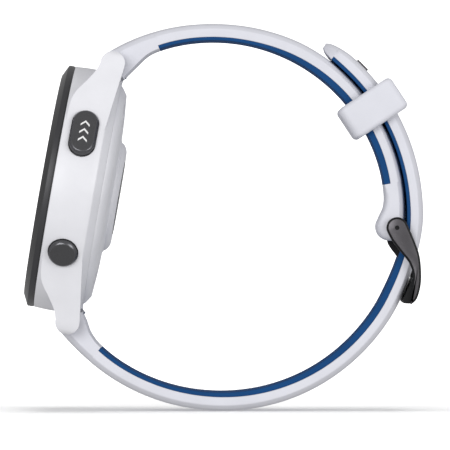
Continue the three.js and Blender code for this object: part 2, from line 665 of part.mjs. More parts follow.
// A rectangle with round corners across the strap, at one height along it.
function keeperSection(along, inner, outer, half, corner) {
  const stepsPerCorner = 4;
  const points = [];
  [[1, 1], [-1, 1], [-1, -1], [1, -1]].forEach(([outwards, sideways], quarter) => {
    for (let i = 0; i <= stepsPerCorner; i += 1) {
      const turn = radians(90 * quarter + (90 * i) / stepsPerCorner);
      const radius = (outwards > 0 ? outer - corner : inner + corner) + corner * Math.cos(turn);
      points.push(new THREE.Vector3(radius, sideways * (half - corner) + corner * Math.sin(turn), along));
    }
  });
  return points;
}

// A parallel-sided loop, wide enough for both halves of the strap and the badge.
function keeper() {
  const halfLength = 3.35;
  const edge = 0.4;
  const outside = (along, inset) => keeperSection(along, 30.1 + inset, 41.9 - inset, 12.5 - inset, 1.3);
  const band = lofted([
    outside(-halfLength, edge), outside(-halfLength + edge, 0),
    outside(halfLength - edge, 0), outside(halfLength, edge),
  ]);
  const way = [-4, 4].map((along) => keeperSection(along, 32.2, 40.25, 10.7, 0.5));
  return without(band, lofted(way)).rotate([0, -KEEPER_ANGLE, 0]);
}

place(watch, 'keeper', keeper(), whiteSilicone);

// ---------------------------------------------------------------- buckle

function buckleFrame() {
  const sides = [[-ARM_OUTER, -ARM_INNER], [ARM_INNER, ARM_OUTER]];
  const arms = sides.map(([y0, y1]) => plateAcrossY(armShape(), y0, y1, 5));
  const crossbar = plateAcrossY(outline(CROSSBAR.map(fromPin)), -ARM_INNER - 0.3, ARM_INNER + 0.3);
  const pinBore = barAlongY(PIN_RADIUS + 0.3, -PIN_BORE_END, PIN_BORE_END, PIN);
  const dimples = [-1, 1].map((side) => {
    const ends = [side * (ARM_OUTER - 0.2), side * (ARM_OUTER + 1)].sort((a, b) => a - b);
    return barAlongY(0.45, ...ends, PIN, 12);
  });
  return without(joined(...arms, crossbar), pinBore, ...dimples, tongueBlank(0.9, TONGUE_HALF_WIDTH + 0.3));
}

function buckleTongue() {
  const hub = barAlongY(1.55, -TONGUE_HALF_WIDTH, TONGUE_HALF_WIDTH, PIN);
  const bore = barAlongY(PIN_RADIUS + 0.3, -5, 5, PIN);
  return without(joined(hub, tongueBlank(0.6, TONGUE_HALF_WIDTH)), bore);
}

place(watch, 'buckle_frame', buckleFrame(), darkMetal);
place(watch, 'buckle_tongue', buckleTongue(), darkMetal);
place(watch, 'buckle_pin', barAlongY(PIN_RADIUS, -PIN_BORE_END + 0.3, PIN_BORE_END - 0.3, PIN), steel);

// ---------------------------------------------------------------- spring bars

const BAR_RADIUS = 0.85;
const TIP_RADIUS = 0.45;
const TIP_END = 12.6;
const BAR_SHOULDER = 10.6;
const FIXED_END = 2.2;
const MOVING_START = 6.0;

// A quick-release bar: the fixed length, the spring, and the sliding tip with its knob.
function springBar(name, bar, root) {
  const fixed = joined(
    barAlongY(BAR_RADIUS, -BAR_SHOULDER, FIXED_END, bar, 16),
    barAlongY(TIP_RADIUS, -TIP_END, -BAR_SHOULDER + 0.5, bar, 12),
  );
  const moving = joined(
    barAlongY(BAR_RADIUS, MOVING_START, BAR_SHOULDER, bar, 16),
    barAlongY(TIP_RADIUS, BAR_SHOULDER - 0.5, TIP_END, bar, 12),
  );
  const reach = Math.hypot(bar.x, bar.z);
  const knob = barAlongX(RELEASE.knobRadius, reach - 3.3, reach, RELEASE.y, 0, 12).rotate([0, -root, 0]);
  const coil = coilSpring(0.6, 0.13, FIXED_END + 0.15, MOVING_START - 0.15, 4).rotate([0, 0, 90]);
  place(watch, `${name}_bar`, fixed, steel);
  place(watch, `${name}_bar_spring`, coil.translate([bar.x, 0, bar.z]), steel);
  place(watch, `${name}_release`, joined(moving, knob), steel);
}

springBar('upper', UPPER_BAR, UPPER_ROOT);
springBar('lower', LOWER_BAR, LOWER_ROOT);

export default watch;
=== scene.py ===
import json
import math

import bmesh
import bpy
from mathutils import Matrix, Vector


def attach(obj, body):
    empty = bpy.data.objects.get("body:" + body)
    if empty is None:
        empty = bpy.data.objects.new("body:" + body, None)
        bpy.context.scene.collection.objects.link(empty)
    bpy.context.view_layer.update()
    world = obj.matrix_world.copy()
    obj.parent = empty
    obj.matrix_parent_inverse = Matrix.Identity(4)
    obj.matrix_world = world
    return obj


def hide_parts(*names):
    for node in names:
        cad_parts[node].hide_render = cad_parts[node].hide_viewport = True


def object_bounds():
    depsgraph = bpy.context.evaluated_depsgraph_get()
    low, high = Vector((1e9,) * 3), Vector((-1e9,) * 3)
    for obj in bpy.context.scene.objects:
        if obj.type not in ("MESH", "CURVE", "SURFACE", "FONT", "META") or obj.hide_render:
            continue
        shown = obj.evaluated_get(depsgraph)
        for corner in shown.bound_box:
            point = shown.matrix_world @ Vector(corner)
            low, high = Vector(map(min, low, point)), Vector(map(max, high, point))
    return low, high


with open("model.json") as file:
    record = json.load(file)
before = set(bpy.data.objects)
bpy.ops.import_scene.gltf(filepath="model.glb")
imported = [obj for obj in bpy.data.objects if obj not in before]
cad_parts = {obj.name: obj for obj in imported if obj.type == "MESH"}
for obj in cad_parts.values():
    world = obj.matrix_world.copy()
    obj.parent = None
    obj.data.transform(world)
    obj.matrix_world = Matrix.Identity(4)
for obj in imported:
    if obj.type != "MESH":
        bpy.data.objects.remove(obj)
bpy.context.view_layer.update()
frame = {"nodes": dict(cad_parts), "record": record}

# ---------------------------------------------------------------- sizes, in millimetres

MM = 0.001

CASE_RADIUS = 23.05
BEZEL_TOP = 2.18
LENS_RADIUS = 20.6
WALL_BOTTOM = -7.84
BODY_BOTTOM = -9.2
REAR_RIM_RADIUS = 20.95
CAVITY_RADIUS = 19.6
COVER_SEAT_RADIUS = 20.4
COVER_SEAT_TOP = -8.0
BEZEL_BORE = 19.9
FRONT_SEGMENTS = 224
# The heights between which the bezel is satin. Above and below them it is darker.
BEZEL_SIDE = (0.2, 1.22)

# Cutters through the case run between these heights, from behind its wall to in front of it.
CUTTER_LOW = -12
CUTTER_HIGH = 1

BAR_REACH = 24.65
BAR_DROP = -7.1
LUG_GAP_HALF = 11.15
LUG_TIP_RADIUS = 2.25
LUG_ROUNDING = 0.45
BAR_HOLE_RADIUS = 0.75
BAR_HOLE_END = 12.95
BAR_BORE_RADIUS = 1.2
EYE_RADIUS = 2.4
EYE_HALF_WIDTH = 10.85
EYE_POCKET_RADIUS = 2.75

BUTTON_HEIGHT = -4.1
BUTTON_FACE = 24.15
# Each button's turn about the case in degrees, its length and its width.
BUTTONS = {
    "start": (-62.5, 9.15, 4.75),
    "back": (-120.8, 5.4, 5.4),
    "light": (60, 5.4, 5.4),
    "up": (90, 5.4, 5.4),
    "down": (120, 5.4, 5.4),
}
POCKET_FLOOR = 21.2
POCKET_CLEARANCE = 0.2
CAP_BOTTOM = 22.65
CAP_CHAMFER = 0.42
STEM_WIDTH = 1.5
STEM_END = 18.95
COLLAR_WIDTH = 2.6
COLLAR_TOP = 19.3

LINER_GAP = 0.03
CROWN_HEIGHT = 1.2
# Cutters across the strap end at this distance on either side, past its edges.
PAST_STRAP = 12

PIN = (34.56, -2.6)
PIN_RADIUS = 0.7
PIN_BORE_RADIUS = PIN_RADIUS + 0.3
PIN_BORE_END = 11.45
ARM_INNER = 10.55
ARM_OUTER = 11.9
DIMPLE_RADIUS = 0.42
DIMPLE_DEPTH = 0.3
TONGUE_HALF_WIDTH = 1.1
TONGUE_HALF_THICKNESS = 0.6
TONGUE_HUB_RADIUS = 1.55

KEEPER_ANGLE = 33.4
KEEPER_HALF_LENGTH = 3.35
KEEPER_EDGE = 0.95
KEEPER_RADII = (30.1, 41.9)
KEEPER_HALF_WIDTH = 12.5
KEEPER_CORNER = 1.5
WAY_RADII = (32.2, 40.25)
WAY_HALF_WIDTH = 10.7
WAY_CORNER = 0.6

BADGE_START = 402.9
BADGE_SPAN = 3.9
BADGE_RADII = (39.62, 40)
BADGE_HALF_WIDTH = 3

SCREW_RADIUS = 17.7
SCREW_SHANK_HOLE = 0.9
SCREW_HEAD_HOLE = 1.55
SCREW_SEAT = -9.85
VENT_RADIUS = 1.2
VENT_CENTRE = (13.2, -6.2)
PORT_SPAN = (-17.1, -12.7)
PORT_HALF_WIDTH = 4.3
SCREW_TURNS = (25, 155, 205, 335)

# The case's own frame, from the lens mount: +X to the upper lugs, +Z out through the lens.
lens_mount = next(m for m in frame["record"]["mounts"] if m["name"] == "lens_front")
case_z = Vector(lens_mount["axis"]).normalized()
case_x = Vector((case_z.z, 0, -case_z.x))
case_origin = Vector(lens_mount["pos_m"]) / MM - case_z * BEZEL_TOP
CASE = Matrix.Translation(case_origin) @ Matrix((case_x, Vector((0, 1, 0)), case_z)).transposed().to_4x4()


def from_case(up, out):
    """A place in the case's own frame, as X and Z of the shared frame."""
    point = CASE @ Vector((up, 0, out))
    return point.x, point.z


UPPER_BAR = from_case(BAR_REACH, BAR_DROP)
LOWER_BAR = from_case(-BAR_REACH, BAR_DROP)
UPPER_ROOT = math.degrees(math.atan2(UPPER_BAR[1], UPPER_BAR[0]))
LOWER_ROOT = math.degrees(math.atan2(LOWER_BAR[1], LOWER_BAR[0])) + 360
END_EYE = (33.45, -2.4)
END_EYE_RADIUS = 2.65
UPPER_END = math.degrees(math.atan2(END_EYE[1], END_EYE[0]))

# ---------------------------------------------------------------- node materials


class Shader:
    """A Principled material whose colour, roughness and bump come from noise in the piece's own space."""

    def __init__(self, name, roughness, metallic=0.0, **plain):
        self.material = bpy.data.materials.new(name)
        self.material.use_nodes = True
        self.nodes = self.material.node_tree.nodes
        self.links = self.material.node_tree.links
        self.principled = self.nodes["Principled BSDF"]
        self.roughness = roughness
        self.principled.inputs["Metallic"].default_value = metallic
        for socket, value in plain.items():
            self.principled.inputs[socket.replace("_", " ")].default_value = value
        self.place = self.nodes.new("ShaderNodeTexCoord").outputs["Object"]

    def stretched(self, scale):
        node = self.nodes.new("ShaderNodeMapping")
        node.inputs["Scale"].default_value = scale
        self.links.new(self.place, node.inputs["Vector"])
        return node.outputs["Vector"]

    def noise(self, size_mm, detail=3.0, stretch=None):
        node = self.nodes.new("ShaderNodeTexNoise")
        node.inputs["Scale"].default_value = 1 / (size_mm * MM)
        node.inputs["Detail"].default_value = detail
        self.links.new(self.stretched(stretch) if stretch else self.place, node.inputs["Vector"])
        return node.outputs["Fac"]

    def colour(self, fac, low, high, start=0.3, end=0.7):
        ramp = self.nodes.new("ShaderNodeValToRGB")
        ramp.color_ramp.elements[0].position = start
        ramp.color_ramp.elements[0].color = (*low, 1)
        ramp.color_ramp.elements[1].position = end
        ramp.color_ramp.elements[1].color = (*high, 1)
        self.links.new(fac, ramp.inputs["Fac"])
        return ramp.outputs["Color"]

    def set_colour(self, colour):
        self.links.new(colour, self.principled.inputs["Base Color"])
        return self

    def vary_roughness(self, fac, spread):
        node = self.nodes.new("ShaderNodeMapRange")
        node.inputs["To Min"].default_value = self.roughness - spread
        node.inputs["To Max"].default_value = self.roughness + spread
        self.links.new(fac, node.inputs["Value"])
        self.links.new(node.outputs["Result"], self.principled.inputs["Roughness"])
        return self

    def bump(self, *layers):
        normal = None
        for fac, height_mm in layers:
            node = self.nodes.new("ShaderNodeBump")
            node.inputs["Strength"].default_value = 1.0
            node.inputs["Distance"].default_value = height_mm * MM
            self.links.new(fac, node.inputs["Height"])
            if normal:
                self.links.new(normal, node.inputs["Normal"])
            normal = node.outputs["Normal"]
        self.links.new(normal, self.principled.inputs["Normal"])
        return self


def shade_of(colour, factor):
    return tuple(min(1.0, c * factor) for c in colour)


def moulded(name, colour, roughness, grain_mm=0.22, height_mm=0.006, variation=0.03, **plain):
    """Moulded plastic or silicone: a fine spark-eroded grain, faint flow marks and a little unevenness."""
    shader = Shader(name, roughness, **plain)
    cloud = shader.noise(6.0, 4.0)
    grain = shader.noise(grain_mm, 2.0)
    shader.set_colour(shader.colour(cloud, shade_of(colour, 1 - variation), shade_of(colour, 1 + variation)))
    shader.vary_roughness(grain, 0.06)
    return shader.bump((grain, height_mm), (shader.noise(9.0, 2.0), 0.02)).material


def brushed(name, colour, roughness, along, variation=0.12, metallic=1.0, **plain):
    """Metal with fine lines drawn along one axis, and smudges over them."""
    shader = Shader(name, roughness, metallic=metallic, **plain)
    stretch = tuple(0.04 if axis == along else 1.0 for axis in "XYZ")
    lines = shader.noise(0.12, 3.0, stretch)
    smudge = shader.noise(3.0, 4.0)
    shader.set_colour(shader.colour(lines, shade_of(colour, 1 - variation), shade_of(colour, 1 + variation)))
    shader.vary_roughness(smudge, 0.08)
    return shader.bump((lines, 0.003)).material


def glassy(name, colour, roughness, **plain):
    """Polished glass with the faint unevenness of a wiped surface."""
    shader = Shader(name, roughness, **plain)
    smear = shader.noise(4.0, 5.0)
    shader.set_colour(shader.colour(smear, colour, shade_of(colour, 1.5)))
    shader.vary_roughness(smear, 0.03)
    return shader.bump((shader.noise(12.0, 1.0), 0.002)).material


def circuit(name):
    """Green solder mask with copper tracks under it and small gold pads."""
    shader = Shader(name, 0.35, Coat_Weight=0.4)
    tracks = shader.nodes.new("ShaderNodeTexBrick")
    tracks.inputs["Scale"].default_value = 500
    tracks.inputs["Color1"].default_value = (0.01, 0.09, 0.04, 1)
    tracks.inputs["Color2"].default_value = (0.015, 0.12, 0.055, 1)
    tracks.inputs["Mortar"].default_value = (0.04, 0.2, 0.08, 1)
    tracks.inputs["Mortar Size"].default_value = 0.03
    shader.links.new(shader.place, tracks.inputs["Vector"])
    pads = shader.nodes.new("ShaderNodeTexVoronoi")
    pads.inputs["Scale"].default_value = 420
    shader.links.new(shader.place, pads.inputs["Vector"])
    ramp = shader.nodes.new("ShaderNodeValToRGB")
    ramp.color_ramp.interpolation = "CONSTANT"
    ramp.color_ramp.elements[0].color = (1, 1, 1, 1)
    ramp.color_ramp.elements[1].position = 0.22
    ramp.color_ramp.elements[1].color = (0, 0, 0, 1)
    shader.links.new(pads.outputs["Distance"], ramp.inputs["Fac"])
    mix = shader.nodes.new("ShaderNodeMix")
    mix.data_type = "RGBA"
    shader.links.new(ramp.outputs["Color"], mix.inputs["Factor"])
    shader.links.new(tracks.outputs["Color"], mix.inputs["A"])
    mix.inputs["B"].default_value = (0.75, 0.55, 0.2, 1)
    shader.set_colour(mix.outputs["Result"])
    shader.vary_roughness(shader.noise(2.0), 0.05)
    return shader.bump((ramp.outputs["Color"], 0.02)).material


WHITE = (0.8, 0.8, 0.84)
SILICONE_WHITE = (0.72, 0.725, 0.785)
BLUE = (0.011, 0.065, 0.2)

MATERIALS = {
    "white_plastic": moulded("white_plastic", WHITE, 0.42, Coat_Weight=0.08, Coat_Roughness=0.4),
    "white_silicone": moulded("white_silicone", SILICONE_WHITE, 0.6, Specular_IOR_Level=0.35),
    "blue_silicone": moulded("blue_silicone", BLUE, 0.8, variation=0.08, Specular_IOR_Level=0.08),
    "dark_bezel": moulded("dark_bezel", (0.042, 0.042, 0.046), 0.42, metallic=0.2, variation=0.08),
    "dark_button": brushed("dark_button", (0.09, 0.09, 0.095), 0.42, "Z", metallic=0.7),
    "dark_buckle": brushed("dark_buckle", (0.105, 0.1, 0.108), 0.36, "Y", metallic=0.85),
    "steel": brushed("steel", (0.6, 0.61, 0.63), 0.28, "Y"),
    "gold": brushed("gold", (0.75, 0.55, 0.22), 0.25, "Y"),
    "black_glass": glassy("black_glass", (0.004, 0.004, 0.005), 0.06, Coat_Weight=0.5),
    "display": glassy("display", (0.006, 0.006, 0.008), 0.2),
    "black_plastic": moulded("black_plastic", (0.015, 0.015, 0.016), 0.55, variation=0.1),
    "circuit_board": circuit("circuit_board"),
    "battery_foil": brushed("battery_foil", (0.4, 0.41, 0.43), 0.35, "Z"),
    "gasket_rubber": moulded("gasket_rubber", (0.025, 0.025, 0.027), 0.75, variation=0.1),
}
BEZEL_FACE = moulded("bezel_face", (0.016, 0.016, 0.018), 0.32, variation=0.08)
PRINT_WHITE = moulded("print_white", (0.85, 0.85, 0.85), 0.5, height_mm=0.002)
PRINT_GREY = moulded("print_grey", (0.2, 0.2, 0.21), 0.5, height_mm=0.002)
# A polished chamfer for the buttons. Its colour is lighter than theirs as a painted highlight.
POLISHED_RIM_AND_HIGHLIGHT = brushed("polished_rim_and_highlight", (0.13, 0.13, 0.14), 0.28, "Z", metallic=0.9)
# Near-black painted shade, for the buckle's rims, crossbar and holes and for the whole tongue.
SHADED_METAL = brushed("shaded_metal", (0.007, 0.007, 0.008), 0.45, "Y", metallic=0.3, Specular_IOR_Level=0.3)

# ---------------------------------------------------------------- meshes


def mesh_piece(name, verts, faces, matrix=None):
    """A mesh from points in millimetres, with its faces turned the same way, outwards on a closed one."""
    bm = bmesh.new()
    made = [bm.verts.new(Vector(v)) for v in verts]
    for face in faces:
        bm.faces.new([made[i] for i in face])
    bmesh.ops.remove_doubles(bm, verts=bm.verts, dist=1e-4)
    bmesh.ops.recalc_face_normals(bm, faces=bm.faces)
    bmesh.ops.transform(bm, matrix=Matrix.Scale(MM, 4) @ (matrix or Matrix.Identity(4)), verts=bm.verts)
    mesh = bpy.data.meshes.new(name)
    bm.to_mesh(mesh)
    bm.free()
    piece = bpy.data.objects.new(name, mesh)
    bpy.context.scene.collection.objects.link(piece)
    return piece


def loft(name, sections, matrix=None):
    """A skin over closed sections with the same number of points each, capped at both ends."""
    count = len(sections[0])
    verts = [point for section in sections for point in section]
    faces = []
    for row in range(len(sections) - 1):
        for i in range(count):
            a = row * count + i
            b = row * count + (i + 1) % count
            faces.append((a, b, b + count, a + count))
    faces.append(tuple(range(count)))
    faces.append(tuple(range(len(verts) - count, len(verts))))
    return mesh_piece(name, verts, faces, matrix)


def lathe(name, profile, segments=160):
    """A closed profile of (radius, height), turned about the case's axis. Its ends may lie on that axis."""
    verts = []
    faces = []
    count = len(profile)
    for i in range(segments):
        a = 2 * math.pi * i / segments
        verts += [(r * math.cos(a), r * math.sin(a), z) for r, z in profile]
    on_axis = profile[0][0] == 0
    for i in range(segments):
        here = i * count
        there = ((i + 1) % segments) * count
        for j in range(count - 1 if on_axis else count):
            k = (j + 1) % count
            corners = [here + j, there + j, there + k, here + k]
            if profile[j][0] == 0:
                corners = [here + j, there + k, here + k]
            elif profile[k][0] == 0:
                corners = [here + j, there + j, here + k]
            faces.append(corners)
    return mesh_piece(name, verts, faces, CASE)


def plate_across_y(name, outline, y0, y1, matrix=None):
    """An outline of (x, z), carried from one Y to another."""
    near = [(x, y0, z) for x, z in outline]
    far = [(x, y1, z) for x, z in outline]
    return loft(name, [near, far], matrix)


def plate_along_z(name, outline, z0, z1, matrix=None):
    """An outline of (x, y), carried from one Z to another."""
    low = [(x, y, z0) for x, y in outline]
    high = [(x, y, z1) for x, y in outline]
    return loft(name, [low, high], matrix)


def block(name, xs, ys, zs, matrix=None):
    outline = [(xs[0], ys[0]), (xs[1], ys[0]), (xs[1], ys[1]), (xs[0], ys[1])]
    return plate_along_z(name, outline, *zs, matrix)


def arc(centre, radius, start, end, steps):
    """Points on an arc, from one angle to another in degrees."""
    angles = [math.radians(start + (end - start) * i / steps) for i in range(steps + 1)]
    return [(centre[0] + radius * math.cos(a), centre[1] + radius * math.sin(a)) for a in angles]


def circle(centre, radius, steps):
    return arc(centre, radius, 0, 360, steps)[:-1]


def rod_along_y(name, radius, y0, y1, centre, matrix=None, steps=48):
    return plate_across_y(name, circle(centre, radius, steps), y0, y1, matrix)


def smooth_line(points, steps=6):
    """A Catmull-Rom curve through points, its ends included."""
    padded = [points[0], *points, points[-1]]
    line = []
    for i in range(len(points) - 1):
        p0, p1, p2, p3 = (Vector(p) for p in padded[i:i + 4])
        for step in range(steps):
            t = step / steps
            line.append(tuple(0.5 * (2 * p1 + (p2 - p0) * t + (2 * p0 - 5 * p1 + 4 * p2 - p3) * t * t
                                     + (3 * p1 - p0 - 3 * p2 + p3) * t ** 3)))
    return [*line, tuple(points[-1])]


def eased(corners, reaches, steps=4):
    """A closed outline with its corners rounded, each over its own distance on either side."""
    points = []
    for i, corner in enumerate(corners):
        here = Vector(corner)
        before = Vector(corners[i - 1]) - here
        after = Vector(corners[(i + 1) % len(corners)]) - here
        start = here + before * min(reaches[i] / before.length, 0.45)
        end = here + after * min(reaches[i] / after.length, 0.45)
        for step in range(steps + 1):
            t = step / steps
            points.append(tuple(start * (1 - t) ** 2 + here * (2 * t * (1 - t)) + end * t ** 2))
    return points


def combine(piece, others, operation):
    """Applies one boolean per other mesh, and removes the others."""
    for other in others:
        modifier = piece.modifiers.new(operation.lower(), "BOOLEAN")
        modifier.operation = operation
        modifier.solver = "EXACT"
        modifier.object = other
    settle(piece)
    for other in others:
        bpy.data.objects.remove(other)
    return piece


def settle(piece):
    """Turns a piece's modifiers into its mesh."""
    evaluated = piece.evaluated_get(bpy.context.evaluated_depsgraph_get())
    mesh = bpy.data.meshes.new_from_object(evaluated)
    piece.modifiers.clear()
    piece.data = mesh
    return piece


def cut(piece, *cutters):
    return combine(piece, cutters, "DIFFERENCE")


def smooth(piece, angle=30):
    piece.data.polygons.foreach_set("use_smooth", [True] * len(piece.data.polygons))
    piece.data.set_sharp_from_angle(angle=math.radians(angle))
    return piece


def rounded_edges(piece, width, segments=3, angle=32):
    """Rounds every edge sharper than an angle, and shades the rest smoothly."""
    bm = bmesh.new()
    bm.from_mesh(piece.data)
    bmesh.ops.remove_doubles(bm, verts=bm.verts, dist=2e-6)
    bmesh.ops.dissolve_limit(bm, angle_limit=math.radians(0.4), verts=bm.verts, edges=bm.edges)
    bm.to_mesh(piece.data)
    bm.free()
    bevel = piece.modifiers.new("rounding", "BEVEL")
    bevel.width = width * MM
    bevel.segments = segments
    bevel.limit_method = "ANGLE"
    bevel.angle_limit = math.radians(angle)
    bevel.harden_normals = True
    piece.data.polygons.foreach_set("use_smooth", [True] * len(piece.data.polygons))
    return piece


def paint(piece, material, chosen):
    """Gives a second material to the faces that are chosen by their centre, in metres."""
    piece.data.materials.append(material)
    for polygon in piece.data.polygons:
        if chosen(polygon.center):
            polygon.material_index = 1


def finish_piece(piece, body, slot, *nodes):
    """Gives a piece its material, its body and the CAD nodes that it stands for."""
    piece.data.materials.clear()
    piece.data.materials.append(MATERIALS[slot])
    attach(piece, body)
    if nodes:
        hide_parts(*nodes)
    return piece


# ---------------------------------------------------------------- case


def case_profile():
    """The section of the case wall, as radius and height."""
    waist = CASE_RADIUS + 0.12
    return [
        (CAVITY_RADIUS, 0), (CASE_RADIUS - 0.2, 0), (CASE_RADIUS - 0.05, -0.08), (CASE_RADIUS, -0.25),
        (waist, -2.4), (waist, -6.6), (CASE_RADIUS - 0.06, -7.68), (CASE_RADIUS - 0.14, WALL_BOTTOM),
        (CASE_RADIUS - 0.35, -8.02), (REAR_RIM_RADIUS + 0.05, BODY_BOTTOM + 0.03),
        (REAR_RIM_RADIUS, BODY_BOTTOM), (COVER_SEAT_RADIUS, BODY_BOTTOM),
        (COVER_SEAT_RADIUS, COVER_SEAT_TOP), (CAVITY_RADIUS, COVER_SEAT_TOP),
    ]


def lug_pair(name, turn):
    """Two horns at one end of the case: a side outline, cut to a plan outline."""
    tip = (BAR_REACH, BAR_DROP)
    crest = [
        (12, -0.45), (16.0, -0.6), (18.2, -1.25), (20.4, -2.75), (22.6, -4.15),
        (BAR_REACH, BAR_DROP + LUG_TIP_RADIUS),
    ]
    belly = [(24.1, BAR_DROP - 2.2), (20.5, -8.85), (16, -8.3), (12, WALL_BOTTOM)]
    side = [*smooth_line(crest, 5)[:-1], *arc(tip, LUG_TIP_RADIUS, 90, -82, 14), *smooth_line(belly, 4)]
    flank = [(8, 21.62), (12.2, 19.55), (17, 17.75), (21.5, 16.2), (25.4, 15.0), (26.6, 14.2), (27.2, 13)]
    curve = smooth_line(flank, 4)
    plan = [*[(x, -y) for x, y in curve], *reversed(curve)]
    matrix = CASE @ Matrix.Rotation(math.radians(turn), 4, "Z")
    past_flanks = 22
    horns = plate_across_y(name, side, -past_flanks, past_flanks, matrix)
    combine(horns, [plate_along_z("plan", plan, CUTTER_LOW, CUTTER_HIGH, matrix)], "INTERSECT")
    settle(rounded_edges(horns, LUG_ROUNDING, 2, 50))
    gap = block("gap", (8, 30), (-LUG_GAP_HALF, LUG_GAP_HALF), (CUTTER_LOW, CUTTER_HIGH), matrix)
    inside = circle((0, 0), COVER_SEAT_RADIUS + 0.4, 96)
    core = plate_along_z("core", inside, CUTTER_LOW, CUTTER_HIGH, matrix)
    return cut(horns, gap, core)


def pill(x, length, width, inset, steps=20):
    """A pill outline in Y and Z at one distance along X, or a circle if it is as long as it is wide."""
    radius = width / 2 - inset
    straight = (length - width) / 2
    right = arc((straight, 0), radius, -90, 90, steps)
    left = arc((-straight, 0), radius, 90, 270, steps)
    if straight == 0:
        left = left[1:-1]
    return [(x, y, z) for y, z in right + left]


def button_matrix(turn):
    """A button's own frame: +X out along its axis, +Z towards the front of the case."""
    return CASE @ Matrix.Rotation(math.radians(turn), 4, "Z") @ Matrix.Translation((0, 0, BUTTON_HEIGHT))


def button_pocket(turn, length, width):
    size = (length + 2 * POCKET_CLEARANCE, width + 2 * POCKET_CLEARANCE)
    sections = [pill(x, *size, 0) for x in (POCKET_FLOOR, CASE_RADIUS + 3)]
    return loft("pocket", sections, button_matrix(turn))


def eye_pocket(turn):
    """Room in the case wall for the strap's end, round a spring bar and open to the back."""
    matrix = CASE @ Matrix.Rotation(math.radians(turn), 4, "Z")
    low = [(BAR_REACH - EYE_POCKET_RADIUS, CUTTER_LOW), (BAR_REACH + EYE_POCKET_RADIUS, CUTTER_LOW)]
    outline = [*low, *arc((BAR_REACH, BAR_DROP), EYE_POCKET_RADIUS, 0, 180, 24)]
    return plate_across_y("eye_pocket", outline, -LUG_GAP_HALF, LUG_GAP_HALF, matrix)


def bar_slot():
    """The lower lugs' spring bar holes, open to the back."""
    rim = arc((-BAR_REACH, BAR_DROP), BAR_HOLE_RADIUS, 0, 180, 12)
    outline = [(-BAR_REACH + BAR_HOLE_RADIUS, CUTTER_LOW), *rim, (-BAR_REACH - BAR_HOLE_RADIUS, CUTTER_LOW)]
    return plate_across_y("bar_slot", outline, -BAR_HOLE_END, BAR_HOLE_END, CASE)


def case_shell():
    shell = lathe("case_shell", case_profile())
    combine(shell, [lug_pair("upper_lugs", 0), lug_pair("lower_lugs", 180)], "UNION")
    bar = (BAR_REACH, BAR_DROP)
    upper_hole = rod_along_y("bar_hole", BAR_HOLE_RADIUS, -BAR_HOLE_END, BAR_HOLE_END, bar, CASE, 24)
    pockets = [button_pocket(*layout) for layout in BUTTONS.values()]
    cut(shell, eye_pocket(0), eye_pocket(180), upper_hole, bar_slot(), *pockets)
    return rounded_edges(shell, 0.16)


finish_piece(case_shell(), "case", "white_plastic", "case_body")

# ---------------------------------------------------------------- front and rear

bezel = lathe("bezel_ring", [
    (BEZEL_BORE, 0.05), (CASE_RADIUS - 0.06, 0.05), (CASE_RADIUS - 0.06, 0.2), (CASE_RADIUS, 0.26),
    (CASE_RADIUS, 1.08), (CASE_RADIUS - 0.03, 1.16), (CASE_RADIUS - 0.16, 1.26),
    (LENS_RADIUS + 0.55, BEZEL_TOP - 0.08), (LENS_RADIUS + 0.42, BEZEL_TOP),
    (LENS_RADIUS + 0.3, BEZEL_TOP - 0.05), (LENS_RADIUS + 0.3, 0.7), (BEZEL_BORE, 0.7),
], segments=FRONT_SEGMENTS)
finish_piece(smooth(bezel), "case", "dark_bezel", "bezel")
to_case = (Matrix.Scale(MM, 4) @ CASE).inverted()
paint(bezel, BEZEL_FACE, lambda centre: not BEZEL_SIDE[0] < (to_case @ centre).z < BEZEL_SIDE[1])

lens = lathe("lens_glass", [
    (0, 1.0), (LENS_RADIUS, 1.0), (LENS_RADIUS, BEZEL_TOP - 0.3), (LENS_RADIUS - 0.05, BEZEL_TOP - 0.18),
    (LENS_RADIUS - 0.17, BEZEL_TOP - 0.06), (LENS_RADIUS - 0.32, BEZEL_TOP), (0, BEZEL_TOP),
], segments=FRONT_SEGMENTS)
finish_piece(smooth(lens, 50), "case", "black_glass", "lens")


def dial_marks(name, count=12, inner=18.6, outer=19.9, quarter_half=0.24, hour_half=0.12):
    """Short thin marks round the edge of the glass, one for each hour and wider at the quarters."""
    verts = []
    faces = []
    for i in range(count):
        turned = Matrix.Rotation(2 * math.pi * i / count, 4, "Z")
        half = quarter_half if i % 3 == 0 else hour_half
        under, top = BEZEL_TOP + 0.002, BEZEL_TOP + 0.012
        outline = [(inner, -half), (outer, -half), (outer, half), (inner, half)]
        rows = [[(r, y, z) for r, y in outline] for z in (under, top)]
        first = len(verts)
        verts += [turned @ Vector(point) for row in rows for point in row]
        faces += [[first + j for j in (0, 1, 2, 3)], [first + j for j in (7, 6, 5, 4)]]
        faces += [[first + j, first + (j + 1) % 4, first + (j + 1) % 4 + 4, first + j + 4] for j in range(4)]
    return mesh_piece(name, verts, faces, CASE)


marks = finish_piece(dial_marks("dial_marks"), "case", "display")
marks.data.materials[0] = PRINT_GREY


def screw_place(turn):
    a = math.radians(turn)
    return SCREW_RADIUS * math.cos(a), SCREW_RADIUS * math.sin(a)


def cover_bore(name, radius, top, centre, steps=40):
    """A cutter from behind the rear cover up to one height."""
    return plate_along_z(name, circle(centre, radius, steps), CUTTER_LOW, top, CASE)


